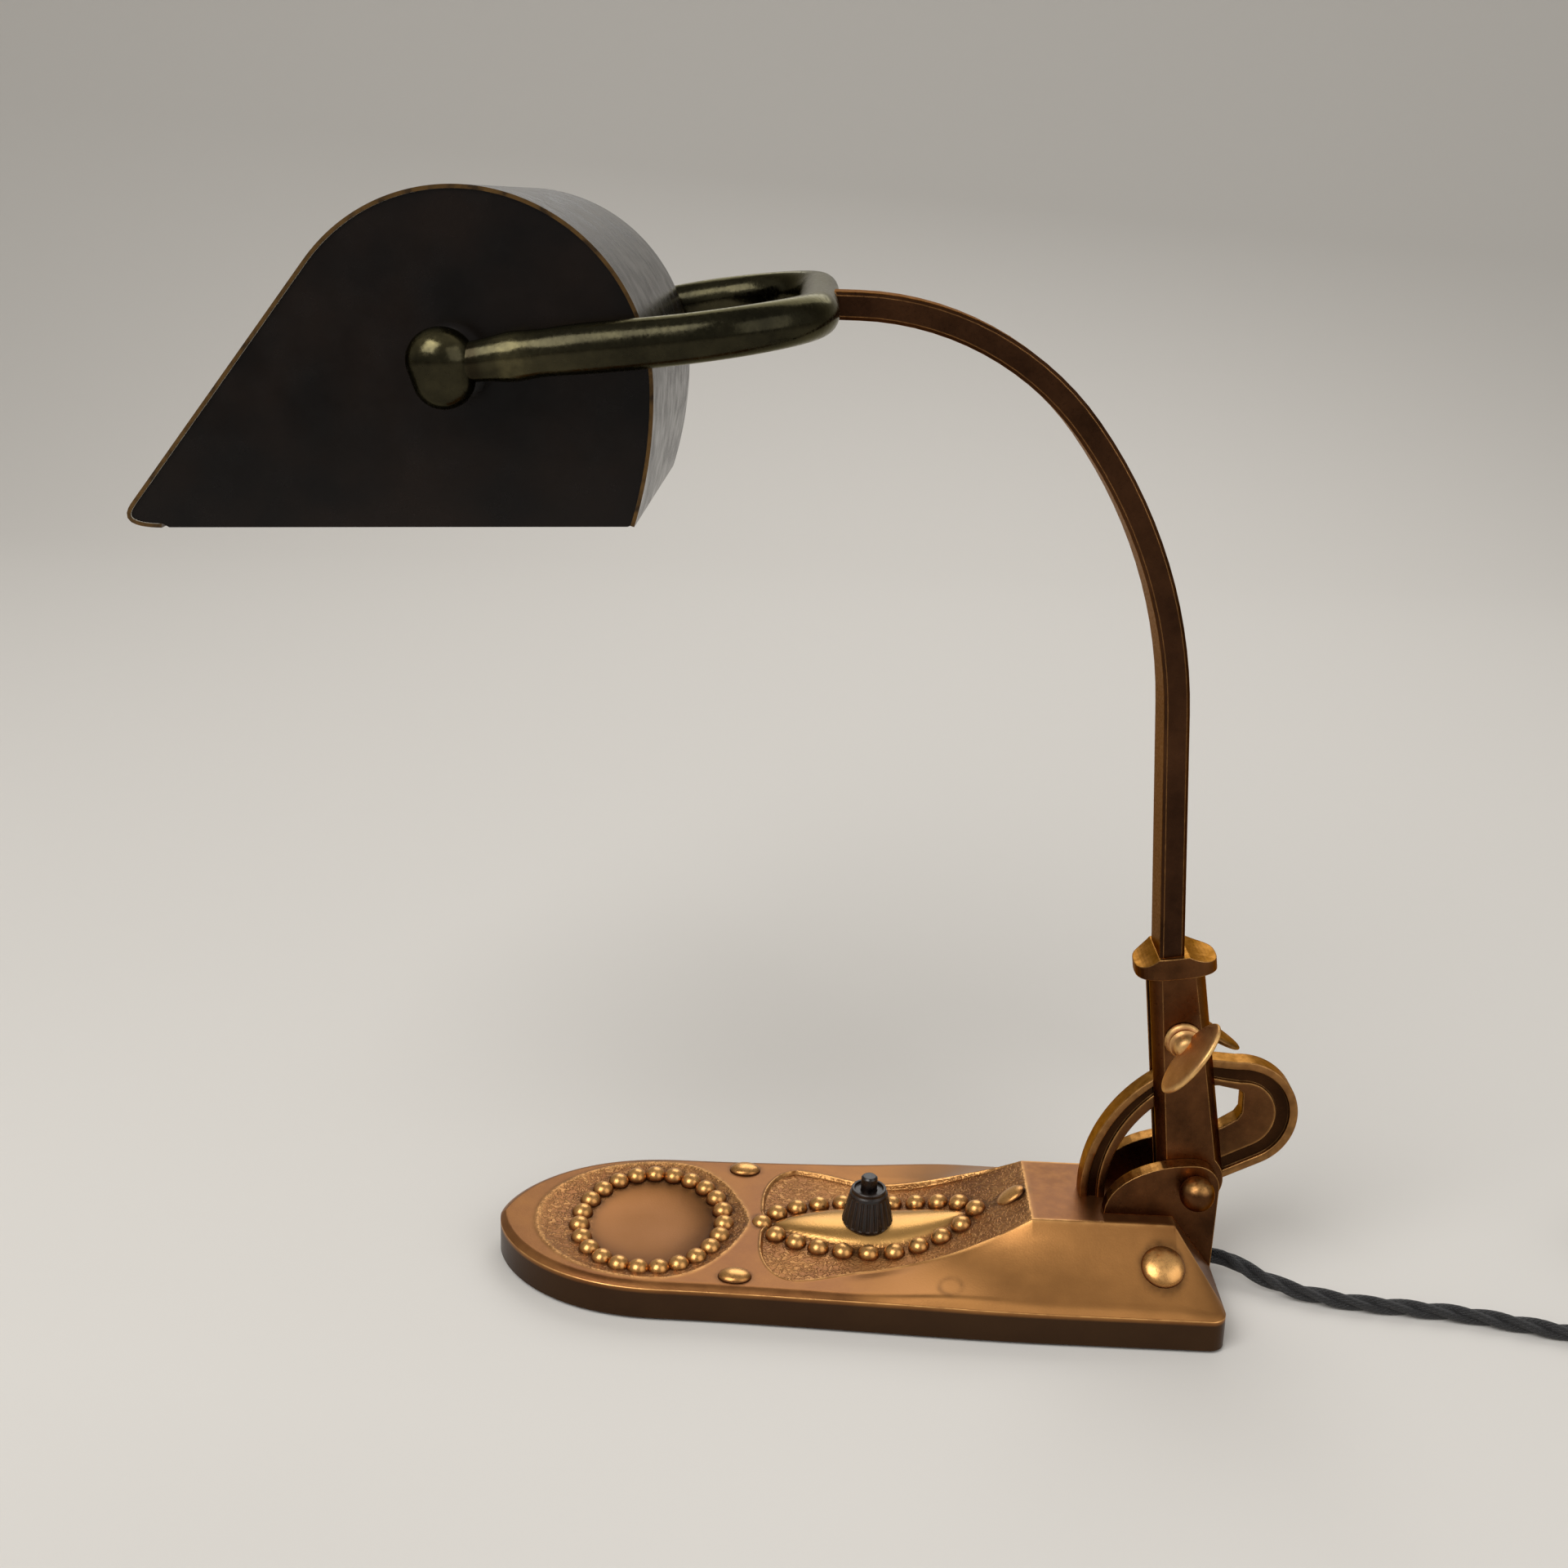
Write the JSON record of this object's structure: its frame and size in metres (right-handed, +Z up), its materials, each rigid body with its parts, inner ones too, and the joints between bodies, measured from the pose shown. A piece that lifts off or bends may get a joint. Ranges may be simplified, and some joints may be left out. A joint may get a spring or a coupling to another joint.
{
  "type": "desk lamp",
  "caption": "Notary desk lamp with a beaded cast base, a push switch, a clamped leaning arm, a fork and a tilting half-round shade, and a twisted cord with a plug.",
  "frame": {"origin": "middle of the base's underside, on the table", "axes": "+Z up, +X towards the back of the base where the arm and the cord are, +Y across the lamp"},
  "size_m": [0.7037, 0.1792, 0.3943],
  "materials": {
    "cast_brass": "cast, patinated and rubbed",
    "steel_plate": "plain sheet",
    "felt": "pressed felt",
    "steel_screw": "plain",
    "bakelite": "moulded, worn",
    "patina_brass": "brown patina",
    "dark_bronze": "dark greenish patina",
    "lacquered_brass": "near-black lacquer, glossy",
    "cloth_cord": "twisted cloth",
    "cord_rubber": "moulded",
    "plug_bakelite": "moulded",
    "plug_brass": "bright",
    "holder_bakelite": "moulded",
    "frosted_glass": "frosted"
  },
  "bodies": {
    "base": {"base_casting": "cast_brass", "bottom_plate": "steel_plate", "felt_pad": "felt", "bottom_screws": "steel_screw", "switch_bezel": "bakelite", "switch_body": "bakelite", "switch_nut": "steel_screw", "cheek_near": "patina_brass", "cheek_far": "patina_brass", "sector": "patina_brass", "pivot_pin": "patina_brass", "pivot_cap": "patina_brass", "cord_bush": "cord_rubber", "cord_lead": "cloth_cord", "cord_coil": "cloth_cord", "cord_tail": "cloth_cord", "plug_body": "plug_bakelite", "plug_pins": "plug_brass"},
    "arm": {"post_near": "patina_brass", "post_far": "patina_brass", "collar": "patina_brass", "arm_bar": "patina_brass", "fork": "dark_bronze", "fork_ferrules": "dark_bronze", "knob_near": "dark_bronze", "knob_far": "dark_bronze", "shade_studs": "steel_screw", "stud_nuts": "steel_screw", "stud_washers": "dark_bronze"},
    "shade": {"shade_shell": "lacquered_brass", "end_plate_near": "lacquered_brass", "end_plate_far": "lacquered_brass", "bulb_bracket": "steel_screw", "lamp_holder": "holder_bakelite", "bulb": "frosted_glass"},
    "button": {"push_button": "bakelite"},
    "screw_wing": {"wing_screw": "patina_brass"},
    "nut_wing": {"wing_nut": "patina_brass"}
  },
  "joints": [
    {"name": "arm_lean", "type": "hinge", "parent": "base", "child": "arm", "pos_m": [0.1275, 0, 0.0465], "axis": [0, 1, 0], "range_deg": [-30, 24]},
    {"name": "shade_tilt", "type": "hinge", "parent": "arm", "child": "shade", "pos_m": [-0.13455, 0, 0.34369], "axis": [0, 1, 0], "range_deg": [-60, 60]},
    {"name": "button_press", "type": "slide", "parent": "base", "child": "button", "axis": [0, 0, -1], "range_m": [0, 0.003], "stiffness_N_per_m": 400},
    {"name": "wing_screw_turn", "type": "hinge", "parent": "arm", "child": "screw_wing", "pos_m": [0.11835, 0, 0.10428], "axis": [0, 1, 0], "range_deg": [-180, 180]},
    {"name": "wing_nut_turn", "type": "hinge", "parent": "arm", "child": "nut_wing", "pos_m": [0.11835, 0, 0.10428], "axis": [0, 1, 0], "range_deg": [-180, 180]}
  ]
}
